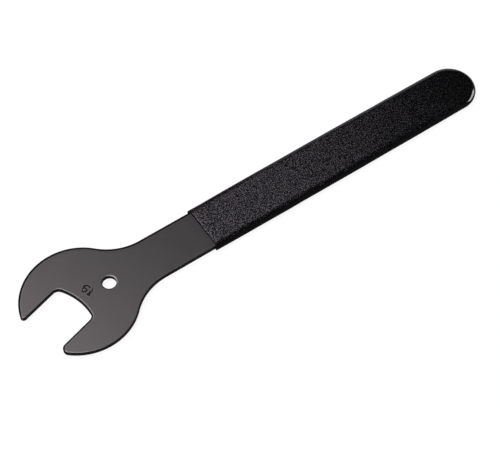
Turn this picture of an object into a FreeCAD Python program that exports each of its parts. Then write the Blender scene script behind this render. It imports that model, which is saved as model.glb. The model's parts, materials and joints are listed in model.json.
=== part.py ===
import FreeCAD, Part
import math
import os

import Sketcher

# A cone wrench: a flat open-ended spanner, stamped from thin plate, with its tang dipped in vinyl for a grip.
#
# The wrench lies flat. The origin is the centre of the hang hole, half way through the blade. +X runs along
# the handle to the grip's end, +Y points to the side of the upper jaw and +Z out of the blade's stamped face.
# Lengths are in millimetres and angles in degrees.

# Driving dimensions: the sheet's alias, the value, and what it is.
DRIVING_SIZES = (
    ("nut_across_flats", 19.0, "size of the hub cone that the jaws take"),
    ("jaw_clearance", 0.1, "room between the jaws and the cone's two flats, both sides together"),
    ("jaw_angle", 15.7, "turn of the jaws from the handle's line"),
    ("jaw_offset", 0.48, "from the head's centre to the centreline of the jaws"),
    ("head_radius", 23.2, "round of the head"),
    ("throat_setback", 0.33, "from the head's centre back to the deepest point of the throat"),
    ("throat_radius", 24.0, "hollow of the throat"),
    ("throat_corner_radius", 2.6, "round between a jaw's flat and the throat"),
    ("upper_tip_radius", 1.3, "round of the long jaw's tip"),
    ("lower_tip_radius", 2.2, "round of the short jaw's tip"),
    ("neck_radius", 22.7, "blend from the head into the shank"),
    ("shank_width", 18.9, "width of the shank and of the tang inside the grip"),
    ("blade_thickness", 2.0, "gauge of the plate"),
    ("edge_break", 0.2, "bevel that tumbling leaves on the blank's edges"),
    ("hole_radius", 2.75, "hang hole"),
    ("head_to_hole", 13.2, "from the head's centre to the hang hole"),
    ("hole_to_seam", 42.6, "from the hang hole to the seam where the grip starts"),
    ("grip_length", 133.25, "from the seam to the grip's end"),
    ("coat_on_faces", 0.95, "vinyl over the tang's flat faces"),
    ("coat_at_seam", 1.11, "vinyl over the tang's edges at the seam"),
    ("coat_at_round", 1.19, "vinyl over the tang's edges where the end's round begins"),
    ("coat_past_tang", 1.5, "vinyl past the tang's end, where the dip dripped off"),
    ("grip_bow_radius", 9300.0, "slow outward bow of the grip's long sides"),
    ("grip_edge_radius", 1.8, "round of the vinyl over the tang's long edges"),
    ("seam_edge_radius", 0.35, "round of the vinyl's lip at the seam"),
)

POSITION_TOLERANCE = 1e-5
ORIGIN_POINT = (-1, 1)
X_AXIS = -1
START, END, CENTRE = 1, 2, 3


def write_sheet(doc):
    """Puts the driving dimensions in a sheet, one to a row, and gives it back."""
    sheet = doc.addObject("Spreadsheet::Sheet", "Sizes")
    for row, (alias, value, meaning) in enumerate(DRIVING_SIZES, start=1):
        sheet.set(f"A{row}", alias)
        sheet.set(f"B{row}", str(value))
        sheet.setAlias(f"B{row}", alias)
        sheet.set(f"C{row}", meaning)
    doc.recompute()
    return sheet


def sketch_on_mid_plane(body, name):
    """An empty sketch on the body's own XY plane, which is the blade's mid-plane."""
    plane = next(feature for feature in body.Origin.OriginFeatures if feature.Role == "XY_Plane")
    sketch = body.newObject("Sketcher::SketchObject", name)
    sketch.AttachmentSupport = [(plane, "")]
    sketch.MapMode = "FlatFace"
    return sketch


def point(x, y):
    """A point of a sketch."""
    return FreeCAD.Vector(x, y, 0)


def line(sketch, start, end):
    """Adds a straight edge and gives its number."""
    return sketch.addGeometry(Part.LineSegment(point(*start), point(*end)), False)


def circle(sketch, centre, radius):
    """Adds a full round edge and gives its number."""
    return sketch.addGeometry(Part.Circle(point(*centre), FreeCAD.Vector(0, 0, 1), radius), False)


def arc(sketch, centre, radius, start_angle, end_angle):
    """Adds a round edge that runs anticlockwise between two angles in degrees, and gives its number."""
    whole = Part.Circle(point(*centre), FreeCAD.Vector(0, 0, 1), radius)
    round_edge = Part.ArcOfCircle(whole, math.radians(start_angle), math.radians(end_angle))
    return sketch.addGeometry(round_edge, False)


def tie(sketch, kind, *references):
    """Adds a constraint that has no size."""
    sketch.addConstraint(Sketcher.Constraint(kind, *references))


def measure(sketch, name, kind, references, value, expression):
    """Adds a constraint of a given size and binds it to the sheet."""
    number = sketch.addConstraint(Sketcher.Constraint(kind, *references, value))
    sketch.renameConstraint(number, name)
    sketch.setExpression(f"Constraints.{name}", expression)


def pad_both_ways(body, name, sketch, thickness):
    """Pads a sketch to both sides of its plane."""
    pad = body.newObject("PartDesign::Pad", name)
    pad.Profile = sketch
    pad.SideType = "Symmetric"
    pad.setExpression("Length", thickness)
    return pad


def cut_through(doc, body, name, sketch):
    """Cuts a sketch through the whole body, to both sides of its plane, and makes sure that it bites."""
    doc.recompute()
    before = body.Shape.Volume
    pocket = body.newObject("PartDesign::Pocket", name)
    pocket.Profile = sketch
    pocket.Type = "ThroughAll"
    pocket.SideType = "Symmetric"
    doc.recompute()
    if body.Shape.Volume >= before:
        raise RuntimeError(f"{name} cuts nothing")
    return pocket


def upright_edges_at(shape, places):
    """Names of the shape's upright edges that stand nearest to the given places in plan."""
    uprights = []
    for number, edge in enumerate(shape.Edges, start=1):
        low, high = edge.Vertexes[0].Point, edge.Vertexes[-1].Point
        if math.hypot(low.x - high.x, low.y - high.y) < POSITION_TOLERANCE and low.z != high.z:
            uprights.append((number, low.x, low.y))
    names = []
    for x, y in places:
        number, _, _ = min(uprights, key=lambda upright: math.hypot(upright[1] - x, upright[2] - y))
        names.append(f"Edge{number}")
    return names


def edges_where(shape, wanted):
    """Numbers of the shape's edges whose every end and middle passes the test."""
    numbers = []
    for number, edge in enumerate(shape.Edges, start=1):
        middle = edge.valueAt((edge.FirstParameter + edge.LastParameter) / 2)
        if all(wanted(place) for place in [vertex.Point for vertex in edge.Vertexes] + [middle]):
            numbers.append(number)
    return numbers


def round_edges(body, name, base, edges, radius):
    """Rounds the named edges of a feature."""
    fillet = body.newObject("PartDesign::Fillet", name)
    fillet.Base = (base, edges)
    fillet.setExpression("Radius", radius)
    return fillet


def in_plan(size, along, across):
    """Turns a place on the jaws' own axes, from the head's centre, into the wrench's x and y."""
    turn = math.radians(size["jaw_angle"])
    x = along * math.cos(turn) - across * math.sin(turn) - size["head_to_hole"]
    y = along * math.sin(turn) + across * math.cos(turn)
    return x, y


def draw_head(body, size):
    """The head before the jaws are cut: a round disc."""
    sketch = sketch_on_mid_plane(body, "HeadOutline")
    centre = (-size["head_to_hole"], 0)
    disc = circle(sketch, centre, size["head_radius"])
    tie(sketch, "PointOnObject", disc, CENTRE, X_AXIS)
    measure(sketch, "head_radius", "Radius", (disc,), size["head_radius"], "Sizes.head_radius")
    to_hole = (disc, CENTRE, *ORIGIN_POINT)
    measure(sketch, "head_to_hole", "DistanceX", to_hole, size["head_to_hole"], "Sizes.head_to_hole")
    return sketch


def draw_shank(body, size):
    """The shank and tang: a strip from the head's centre to a full round inside the grip's end."""
    sketch = sketch_on_mid_plane(body, "ShankOutline")
    half = size["shank_width"] / 2
    near = -size["head_to_hole"]
    reach = size["hole_to_seam"] + size["grip_length"] - size["coat_past_tang"]
    far = reach - half
    root = line(sketch, (near, half), (near, -half))
    lower = line(sketch, (near, -half), (far, -half))
    end = arc(sketch, (far, 0), half, -90, 90)
    upper = line(sketch, (far, half), (near, half))
    tie(sketch, "Coincident", root, END, lower, START)
    tie(sketch, "Tangent", lower, END, end, START)
    tie(sketch, "Tangent", end, END, upper, START)
    tie(sketch, "Coincident", upper, END, root, START)
    tie(sketch, "Vertical", root)
    tie(sketch, "Horizontal", lower)
    tie(sketch, "PointOnObject", end, CENTRE, X_AXIS)
    measure(sketch, "shank_width", "DistanceY", (root, END, root, START), 2 * half, "Sizes.shank_width")
    measure(sketch, "head_to_hole", "DistanceX", (root, START, *ORIGIN_POINT), -near, "Sizes.head_to_hole")
    measure(
        sketch,
        "tang_reach",
        "DistanceX",
        (*ORIGIN_POINT, end, CENTRE),
        far,
        "Sizes.hole_to_seam + Sizes.grip_length - Sizes.coat_past_tang - Sizes.shank_width / 2",
    )
    return sketch


def draw_jaws(body, size):
    """The void between the jaws, on its own axes: X runs from the mouth to the throat, midway between them."""
    sketch = sketch_on_mid_plane(body, "JawOutline")
    turn = size["jaw_angle"]
    start = point(*in_plan(size, 0, size["jaw_offset"]))
    sketch.AttachmentOffset = FreeCAD.Placement(start, FreeCAD.Rotation(FreeCAD.Vector(0, 0, 1), turn))
    sketch.setExpression("AttachmentOffset.Rotation.Angle", "Sizes.jaw_angle * 1 deg")
    sketch.setExpression(
        "AttachmentOffset.Base.x", "-Sizes.head_to_hole - Sizes.jaw_offset * sin(Sizes.jaw_angle * 1 deg)"
    )
    sketch.setExpression("AttachmentOffset.Base.y", "Sizes.jaw_offset * cos(Sizes.jaw_angle * 1 deg)")
    half = (size["nut_across_flats"] + size["jaw_clearance"]) / 2
    past_head = 2 * size["head_radius"]
    arc_centre = -size["throat_setback"] - size["throat_radius"]
    arc_angle = math.degrees(math.asin(half / size["throat_radius"]))
    corner = arc_centre + math.sqrt(size["throat_radius"] ** 2 - half ** 2)
    mouth = line(sketch, (-past_head, half), (-past_head, -half))
    lower = line(sketch, (-past_head, -half), (corner, -half))
    throat = arc(sketch, (arc_centre, 0), size["throat_radius"], -arc_angle, arc_angle)
    upper = line(sketch, (corner, half), (-past_head, half))
    tie(sketch, "Coincident", mouth, END, lower, START)
    tie(sketch, "Coincident", lower, END, throat, START)
    tie(sketch, "Coincident", throat, END, upper, START)
    tie(sketch, "Coincident", upper, END, mouth, START)
    tie(sketch, "Horizontal", lower)
    tie(sketch, "Horizontal", upper)
    tie(sketch, "Symmetric", mouth, START, mouth, END, X_AXIS)
    tie(sketch, "PointOnObject", throat, CENTRE, X_AXIS)
    measure(
        sketch,
        "jaw_gap",
        "DistanceY",
        (mouth, END, mouth, START),
        2 * half,
        "Sizes.nut_across_flats + Sizes.jaw_clearance",
    )
    to_mouth = (mouth, START, *ORIGIN_POINT)
    measure(sketch, "past_head", "DistanceX", to_mouth, past_head, "2 * Sizes.head_radius")
    measure(sketch, "throat_radius", "Radius", (throat,), size["throat_radius"], "Sizes.throat_radius")
    measure(
        sketch,
        "throat_centre",
        "DistanceX",
        (throat, CENTRE, *ORIGIN_POINT),
        -arc_centre,
        "Sizes.throat_setback + Sizes.throat_radius",
    )
    return sketch


def draw_hole(body, size):
    """The hang hole, at the origin."""
    sketch = sketch_on_mid_plane(body, "HoleOutline")
    hole = circle(sketch, (0, 0), size["hole_radius"])
    tie(sketch, "Coincident", hole, CENTRE, *ORIGIN_POINT)
    measure(sketch, "hole_radius", "Radius", (hole,), size["hole_radius"], "Sizes.hole_radius")
    return sketch


def make_blade(doc, size):
    """The stamped blank: disc and strip blended at the neck, then the jaws, their rounds and the hole."""
    body = doc.addObject("PartDesign::Body", "steel_blade")
    pad_both_ways(body, "Head", draw_head(body, size), "Sizes.blade_thickness")
    shank = pad_both_ways(body, "Shank", draw_shank(body, size), "Sizes.blade_thickness")
    doc.recompute()

    half_shank = size["shank_width"] / 2
    neck_x = math.sqrt(size["head_radius"] ** 2 - half_shank ** 2) - size["head_to_hole"]
    neck_edges = upright_edges_at(shank.Shape, [(neck_x, half_shank), (neck_x, -half_shank)])
    round_edges(body, "Neck", shank, neck_edges, "Sizes.neck_radius")
    jaws = cut_through(doc, body, "Jaws", draw_jaws(body, size))

    half_gap = (size["nut_across_flats"] + size["jaw_clearance"]) / 2
    flats = (size["jaw_offset"] + half_gap, size["jaw_offset"] - half_gap)
    throat_centre = -size["throat_setback"] - size["throat_radius"]
    corner = throat_centre + math.sqrt(size["throat_radius"] ** 2 - half_gap ** 2)
    corner_edges = upright_edges_at(jaws.Shape, [in_plan(size, corner, across) for across in flats])
    throat = round_edges(body, "ThroatCorners", jaws, corner_edges, "Sizes.throat_corner_radius")
    doc.recompute()

    tips = [in_plan(size, -math.sqrt(size["head_radius"] ** 2 - across ** 2), across) for across in flats]
    upper_edges = upright_edges_at(throat.Shape, tips[:1])
    upper = round_edges(body, "UpperTip", throat, upper_edges, "Sizes.upper_tip_radius")
    doc.recompute()
    round_edges(body, "LowerTip", upper, upright_edges_at(upper.Shape, tips[1:]), "Sizes.lower_tip_radius")
    hole = cut_through(doc, body, "HangHole", draw_hole(body, size))

    face_height = size["blade_thickness"] / 2
    rims = edges_where(hole.Shape, lambda place: abs(abs(place.z) - face_height) < POSITION_TOLERANCE)
    bevel = body.newObject("PartDesign::Chamfer", "EdgeBreak")
    bevel.Base = (hole, [f"Edge{number}" for number in rims])
    bevel.setExpression("Size", "Sizes.edge_break")
    doc.recompute()
    return body


def side_arc_centre(seam_corner, end_centre, bow_radius, end_radius):
    """Centre of the upper side's bow, which starts at the seam's corner and is tangent to the end's round."""
    gap_x, gap_y = end_centre[0] - seam_corner[0], end_centre[1] - seam_corner[1]
    apart = math.hypot(gap_x, gap_y)
    from_centre = bow_radius - end_radius
    along = (bow_radius ** 2 - from_centre ** 2 + apart ** 2) / (2 * apart)
    aside = math.sqrt(bow_radius ** 2 - along ** 2)
    x = seam_corner[0] + (along * gap_x + aside * gap_y) / apart
    y = seam_corner[1] + (along * gap_y - aside * gap_x) / apart
    return x, y


def draw_grip(body, size):
    """The dip's outline: a square seam, two slowly bowed sides and a full round at the end."""
    sketch = sketch_on_mid_plane(body, "GripOutline")
    seam_x = size["hole_to_seam"]
    half_seam = size["shank_width"] / 2 + size["coat_at_seam"]
    end_radius = size["shank_width"] / 2 + size["coat_at_round"]
    end_x = seam_x + size["grip_length"] - end_radius
    bow_radius = size["grip_bow_radius"]
    bow_x, bow_y = side_arc_centre((seam_x, half_seam), (end_x, 0), bow_radius, end_radius)
    seam_angle = math.degrees(math.atan2(half_seam - bow_y, seam_x - bow_x))
    round_angle = math.degrees(math.atan2(-bow_y, end_x - bow_x))
    seam = line(sketch, (seam_x, half_seam), (seam_x, -half_seam))
    lower = arc(sketch, (bow_x, -bow_y), bow_radius, -seam_angle, -round_angle)
    end = arc(sketch, (end_x, 0), end_radius, -round_angle, round_angle)
    upper = arc(sketch, (bow_x, bow_y), bow_radius, round_angle, seam_angle)
    tie(sketch, "Coincident", seam, END, lower, START)
    tie(sketch, "Tangent", lower, END, end, START)
    tie(sketch, "Tangent", end, END, upper, START)
    tie(sketch, "Coincident", upper, END, seam, START)
    tie(sketch, "Symmetric", seam, START, seam, END, X_AXIS)
    tie(sketch, "PointOnObject", end, CENTRE, X_AXIS)
    tie(sketch, "Equal", lower, upper)
    measure(
        sketch,
        "seam_width",
        "DistanceY",
        (seam, END, seam, START),
        2 * half_seam,
        "Sizes.shank_width + 2 * Sizes.coat_at_seam",
    )
    measure(sketch, "hole_to_seam", "DistanceX", (*ORIGIN_POINT, seam, START), seam_x, "Sizes.hole_to_seam")
    measure(
        sketch, "end_radius", "Radius", (end,), end_radius, "Sizes.shank_width / 2 + Sizes.coat_at_round"
    )
    measure(
        sketch,
        "end_centre",
        "DistanceX",
        (*ORIGIN_POINT, end, CENTRE),
        end_x,
        "Sizes.hole_to_seam + Sizes.grip_length - Sizes.shank_width / 2 - Sizes.coat_at_round",
    )
    measure(sketch, "bow_radius", "Radius", (upper,), bow_radius, "Sizes.grip_bow_radius")
    return sketch


def make_grip(doc, size, blade):
    """The vinyl dip: its outer form, less the tang that it was dipped over."""
    form = doc.addObject("PartDesign::Body", "dip_form")
    thickness = "Sizes.blade_thickness + 2 * Sizes.coat_on_faces"
    pad_both_ways(form, "DipSlab", draw_grip(form, size), thickness)
    doc.recompute()

    face_height = size["blade_thickness"] / 2 + size["coat_on_faces"]
    seam_x = size["hole_to_seam"]
    seam_rims = edges_where(form.Shape, lambda place: abs(place.x - seam_x) < POSITION_TOLERANCE)
    face_rims = edges_where(form.Shape, lambda place: abs(abs(place.z) - face_height) < POSITION_TOLERANCE)
    lip = [(edge, size["seam_edge_radius"], size["seam_edge_radius"]) for edge in seam_rims]
    long_rims = [edge for edge in face_rims if edge not in seam_rims]
    rounds = [(edge, size["grip_edge_radius"], size["grip_edge_radius"]) for edge in long_rims]
    skin = doc.addObject("Part::Fillet", "dip_rounds")
    skin.Base = form
    skin.Edges = lip + rounds
    doc.recompute()

    grip = doc.addObject("Part::Cut", "dipped_grip")
    grip.Base = skin
    grip.Tool = blade
    doc.recompute()
    return grip


def check_document(doc, parts):
    """Stops where an object failed or a sub-part isn't one valid solid."""
    for thing in doc.Objects:
        if "Invalid" in thing.State or "Error" in thing.State:
            raise RuntimeError(f"{thing.Label} failed: {thing.State}")
    for part in parts:
        shape = part.Shape
        if shape.isNull() or not shape.isValid() or len(shape.Solids) != 1:
            raise RuntimeError(f"{part.Label} is not one valid solid")


def main():
    """Builds the wrench and writes each sub-part to its own file."""
    doc = FreeCAD.newDocument("cone_wrench")
    sheet = write_sheet(doc)
    size = {alias: sheet.get(alias) for alias, _, _ in DRIVING_SIZES}
    blade = make_blade(doc, size)
    grip = make_grip(doc, size, blade)
    doc.recompute()
    parts = (blade, grip)
    check_document(doc, parts)
    os.makedirs("parts", exist_ok=True)
    for part in parts:
        part.Shape.exportStep(f"parts/{part.Label}.step")
        box = part.Shape.optimalBoundingBox(False)
        print(f"{part.Label}: {part.Shape.Volume:.1f} mm3, x {box.XMin:.2f} to {box.XMax:.2f}")


main()
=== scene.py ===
import json
import logging
import math
from dataclasses import dataclass, field
from enum import Enum

import bpy
import numpy as np
from bpy.types import ID, Material, Node, NodeSocket, NodeTree, Object
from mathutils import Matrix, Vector, geometry


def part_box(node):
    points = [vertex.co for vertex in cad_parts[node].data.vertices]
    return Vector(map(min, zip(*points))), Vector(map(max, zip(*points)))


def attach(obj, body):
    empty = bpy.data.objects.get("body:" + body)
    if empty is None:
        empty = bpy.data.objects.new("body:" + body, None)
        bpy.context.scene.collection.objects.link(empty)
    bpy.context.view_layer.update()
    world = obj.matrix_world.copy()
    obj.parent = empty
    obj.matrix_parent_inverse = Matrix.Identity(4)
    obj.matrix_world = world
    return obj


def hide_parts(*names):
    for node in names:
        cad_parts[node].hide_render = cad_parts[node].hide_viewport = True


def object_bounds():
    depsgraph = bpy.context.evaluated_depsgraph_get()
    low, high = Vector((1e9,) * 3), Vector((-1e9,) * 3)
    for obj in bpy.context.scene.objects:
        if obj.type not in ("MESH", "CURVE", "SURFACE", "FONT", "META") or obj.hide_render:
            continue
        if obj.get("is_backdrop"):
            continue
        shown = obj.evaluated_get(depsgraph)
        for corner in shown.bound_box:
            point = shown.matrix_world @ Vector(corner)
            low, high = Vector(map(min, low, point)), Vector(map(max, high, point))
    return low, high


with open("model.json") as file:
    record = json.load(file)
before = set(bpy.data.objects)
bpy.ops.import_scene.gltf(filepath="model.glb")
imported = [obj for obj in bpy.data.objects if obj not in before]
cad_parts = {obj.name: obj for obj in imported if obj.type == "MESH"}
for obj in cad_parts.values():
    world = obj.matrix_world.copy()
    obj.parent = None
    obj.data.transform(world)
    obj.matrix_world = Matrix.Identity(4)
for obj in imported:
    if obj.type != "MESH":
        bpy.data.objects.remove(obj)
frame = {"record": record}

# A 19 mm cone wrench: a flat black-oxide blade, stamped from plate, with a dipped vinyl grip over its tang.
#
# The frame's origin is the centre of the hang hole, half way through the blade. +X runs along the handle to
# the grip's end, +Y points to the side of the upper jaw and +Z out of the face that carries the numeral.
# Sizes below are in millimetres and turned to metres when a mesh, lamp or camera is made. Angles are in
# degrees in the fields and in radians inside the methods.

Array = np.ndarray
Place = tuple[float, float, float]

LOG = logging.getLogger("cone_wrench")
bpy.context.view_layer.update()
MM = 0.001
BODY = "root"
RIM_WEAR_AND_HIGHLIGHT_NAME = "rim_wear_and_highlight"
SMOOTHNESS_AND_SHADE_NAME = "drip_gloss_and_shade"
# Two points of an outline that lie closer than this share of its step become one.
CLOSEST_SPACING = 0.1
# The higher this power, the rounder the pebbles and the sharper the creases between them.
CRISP_CREASES = 1.5
# The fill keeps the triangles inside the loops.
FILL_INSIDE = 1
FILL_TOLERANCE = 1e-7


class Zone(Enum):
    """The finish that a face takes: its place in the piece's list of finishes."""

    FACE = 0
    EDGE = 1


def linear(hex_colour: str) -> tuple[float, float, float, float]:
    """Turns an sRGB colour into the linear one that the shaders reckon with.

    Args:
        hex_colour: an sRGB colour, such as "#5c5a59".

    Returns:
        Linear red, green and blue, and an alpha of 1.
    """
    channels = [int(hex_colour[place:place + 2], 16) / 255 for place in (1, 3, 5)]
    linear_channels = [c / 12.92 if c <= 0.04045 else ((c + 0.055) / 1.055) ** 2.4 for c in channels]
    return (*linear_channels, 1.0)


def per_metre(size_mm: float) -> float:
    """Gives the scale at which one cell of a noise texture is this many millimetres wide."""
    return 1 / (size_mm * MM)


def add_node(tree: NodeTree, kind: str, inputs: dict | None = None, **settings: object) -> Node:
    """Adds one shader node with its settings, values and incoming links.

    Args:
        tree: the material's or the world's node tree.
        kind: Blender's name for the node, such as TexNoise, without ShaderNode before it.
        inputs: for each input's name or number, a value, an output, or a node for its first output.
        settings: the node's own settings, such as operation.

    Returns:
        The new node.
    """
    node = tree.nodes.new("ShaderNode" + kind)
    for name, value in settings.items():
        setattr(node, name, value)
    for name, value in (inputs or {}).items():
        if isinstance(value, Node):
            value = value.outputs[0]
        if isinstance(value, NodeSocket):
            tree.links.new(value, node.inputs[name])
        else:
            node.inputs[name].default_value = value
    return node


def put_up(name: str, data: ID, place: Place = (0.0, 0.0, 0.0), aim: Place | None = None) -> Object:
    """Puts an object in the scene.

    Args:
        name: what it is called.
        data: its mesh, lamp or camera.
        place: where it stands.
        aim: what a lamp or a camera is turned to.

    Returns:
        The object.
    """
    made = bpy.data.objects.new(name, data)
    made.location = Vector(place) * MM
    if aim:
        made.rotation_mode = "QUATERNION"
        made.rotation_quaternion = (Vector(aim) - Vector(place)).to_track_quat("-Z", "Y")
    bpy.context.scene.collection.objects.link(made)
    return made


def new_material(name: str) -> tuple[Material, NodeTree]:
    """Makes a material with an empty node tree.

    Args:
        name: what it is called.

    Returns:
        The material and its tree.
    """
    material = bpy.data.materials.new(name)
    material.use_nodes = True
    material.node_tree.nodes.clear()
    return material, material.node_tree


@dataclass(frozen=True)
class BlackOxideSteel:
    """Cold-rolled plate steel, blanked, tumbled and then hot-blackened.

    The black oxide is thin enough for the metal to shine through it, so the face is a satin, slightly warm
    dark grey with faint clouds from the bath and a fine rolled grain. Along the rolled rim runs a thin,
    patchy
    line of lighter steel: partly steel that tumbling rubbed bare, partly a painted highlight where the rim
    catches the lamps.
    """

    grey: str = "#545152"
    cloud_grey: str = "#504d4f"
    worn_steel_and_highlight: str = "#a09b97"
    roughness_low: float = 0.36
    roughness_high: float = 0.40
    cloud_mm: float = 7.0
    cloud_low: float = 0.3
    cloud_high: float = 0.7
    grain_mm: float = 0.25
    grain_stretch: float = 12.0
    grain_depth_mm: float = 0.004
    wear_patch_mm: float = 1.6
    patch_low: float = 0.35
    patch_high: float = 0.65
    least_wear: float = 0.45
    swell_mm: float = 14.0
    swell_depth_mm: float = 0.05

    def make(self) -> Material:
        """Builds the material.

        Returns:
            The blackened face, with its worn rim and the painted highlight along it.
        """
        material, tree = new_material("black_oxide_steel")
        place = add_node(tree, "TexCoord").outputs["Object"]
        cloud = add_node(tree, "TexNoise", {
            "Vector": place, "Scale": per_metre(self.cloud_mm), "Detail": 5.0, "Roughness": 0.6})
        tone = add_node(tree, "Mix", {
            "Factor": cloud, 6: linear(self.grey), 7: linear(self.cloud_grey)}, data_type="RGBA").outputs[2]
        patch = add_node(tree, "TexNoise", {
            "Vector": place, "Scale": per_metre(self.wear_patch_mm), "Detail": 3.0})
        patchy = add_node(tree, "MapRange", {
            "Value": patch, "From Min": self.patch_low, "From Max": self.patch_high,
            "To Min": self.least_wear})
        # The rolled rim's lighter steel: wear, and a painted highlight along the rim.
        wear = add_node(tree, "Attribute", attribute_name=RIM_WEAR_AND_HIGHLIGHT_NAME).outputs["Fac"]
        worn = add_node(tree, "Math", {0: wear, 1: patchy}, operation="MULTIPLY")
        colour = add_node(tree, "Mix", {
            "Factor": worn, 6: tone, 7: linear(self.worn_steel_and_highlight)}, data_type="RGBA").outputs[2]
        gloss = add_node(tree, "MapRange", {
            "Value": cloud, "From Min": self.cloud_low, "From Max": self.cloud_high,
            "To Min": self.roughness_low, "To Max": self.roughness_high})
        along = add_node(tree, "Mapping", {"Vector": place, "Scale": (1 / self.grain_stretch, 1.0, 1.0)})
        grain = add_node(tree, "TexNoise", {
            "Vector": along, "Scale": per_metre(self.grain_mm), "Detail": 2.0})
        swell = add_node(tree, "TexNoise", {
            "Vector": place, "Scale": per_metre(self.swell_mm), "Detail": 1.0})
        wavy = add_node(tree, "Bump", {"Height": swell, "Distance": self.swell_depth_mm * MM})
        bump = add_node(tree, "Bump", {
            "Height": grain, "Distance": self.grain_depth_mm * MM, "Normal": wavy})
        shader = add_node(tree, "BsdfPrincipled", {
            "Base Color": colour, "Metallic": 1.0, "Roughness": gloss, "Normal": bump})
        add_node(tree, "OutputMaterial", {"Surface": shader})
        return material


@dataclass(frozen=True)
class BlankedEdgeAndShade:
    """The sheared edge of the blank and the outer part of its rolled rim, under a thick coat of black oxide.

    Blanking leaves a band of upright tear marks. The edge is drawn a matt near-black that reflects next to
    nothing: partly the blackened edge's own colour, partly painted shade, the dark of walls and rims that
    turn away from the lamps. The deep part of the numeral's struck grooves is drawn in it too, as painted
    shade.
    """

    black: str = "#0b0b0b"
    dust_black: str = "#121212"
    tear_mm: float = 0.35
    tear_height: float = 6.0
    tear_depth_mm: float = 0.04
    roughness: float = 0.6
    # Next to no reflection: the blackened edge, and painted shade on walls, rims and grooves.
    specular_level: float = 0.03

    def make(self) -> Material:
        """Builds the material.

        Returns:
            The matt black of a sheared and blackened edge, with its painted shade.
        """
        material, tree = new_material("blanked_edge_and_shade")
        place = add_node(tree, "TexCoord").outputs["Object"]
        upright = add_node(tree, "Mapping", {"Vector": place, "Scale": (1.0, 1.0, 1 / self.tear_height)})
        tears = add_node(tree, "TexNoise", {
            "Vector": upright, "Scale": per_metre(self.tear_mm), "Detail": 3.0})
        colour = add_node(tree, "Mix", {
            "Factor": tears, 6: linear(self.black), 7: linear(self.dust_black)}, data_type="RGBA").outputs[2]
        bump = add_node(tree, "Bump", {"Height": tears, "Distance": self.tear_depth_mm * MM})
        shader = add_node(tree, "BsdfPrincipled", {
            "Base Color": colour, "Metallic": 0.0, "Roughness": self.roughness,
            "Specular IOR Level": self.specular_level, "Normal": bump})
        add_node(tree, "OutputMaterial", {"Surface": shader})
        return material


@dataclass(frozen=True)
class PlastisolDip:
    """Black PVC plastisol, dipped, and cured with a crinkled skin.

    The skin is a deep black whose fine crests are painted a warm or a cool grey: painted glints, standing
    for the light that the crinkles catch, so it looks grainy. The real grain is finer than the render shows
    and is drawn as coarse as it needs to be. The coat is thicker and smoother towards the handle's end and
    over its long edges, so the grain sinks there and the gloss rises. As the painted glints sink with it,
    the grip is also painted darker towards its end and its edges, and lighter right behind the seam.
    """

    black: str = "#050505"
    # Greys of the painted glints on the crests.
    warm_glint_grey: str = "#645759"
    cool_glint_grey: str = "#545760"
    glint_from: float = 0.515
    glint_to: float = 0.70
    glint_sink: float = 0.135
    drip_share: float = 0.3
    crinkle_mm: float = 0.38
    crinkle_depth_mm: float = 0.03
    roughness_skin: float = 0.22
    roughness_drip: float = 0.13
    ior: float = 1.53

    def make(self) -> Material:
        """Builds the material.

        Returns:
            The crinkled black skin with its painted glints, smoother and darker at the drip end and over the
            long edges.
        """
        material, tree = new_material("plastisol_dip")
        place = add_node(tree, "TexCoord").outputs["Object"]
        smooth = add_node(tree, "Attribute", attribute_name=SMOOTHNESS_AND_SHADE_NAME).outputs["Fac"]
        crinkle = add_node(tree, "TexNoise", {
            "Vector": place, "Scale": per_metre(self.crinkle_mm), "Detail": 0.0})
        rough_share = add_node(tree, "MapRange", {"Value": smooth, "To Min": 1.0, "To Max": self.drip_share})
        # The painted glints: grey crests where the noise runs high, fewer and dimmer where the skin is
        # smoother.
        sunk = add_node(tree, "Math", {0: smooth, 1: -self.glint_sink, 2: crinkle}, operation="MULTIPLY_ADD")
        painted_glint = add_node(tree, "MapRange", {
            "Value": sunk, "From Min": self.glint_from, "From Max": self.glint_to, "To Max": rough_share})
        bloom = add_node(tree, "TexNoise", {
            "Vector": place, "Scale": per_metre(2 * self.crinkle_mm), "Detail": 1.0})
        grey = add_node(tree, "Mix", {
            "Factor": bloom, 6: linear(self.warm_glint_grey), 7: linear(self.cool_glint_grey)},
            data_type="RGBA").outputs[2]
        colour = add_node(tree, "Mix", {
            "Factor": painted_glint, 6: linear(self.black), 7: grey}, data_type="RGBA").outputs[2]
        gloss = add_node(tree, "MapRange", {
            "Value": smooth, "To Min": self.roughness_skin, "To Max": self.roughness_drip})
        bump = add_node(tree, "Bump", {
            "Height": crinkle, "Distance": self.crinkle_depth_mm * MM, "Strength": rough_share})
        shader = add_node(tree, "BsdfPrincipled", {
            "Base Color": colour, "Metallic": 0.0, "Roughness": gloss, "IOR": self.ior, "Normal": bump})
        add_node(tree, "OutputMaterial", {"Surface": shader})
        return material


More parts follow.
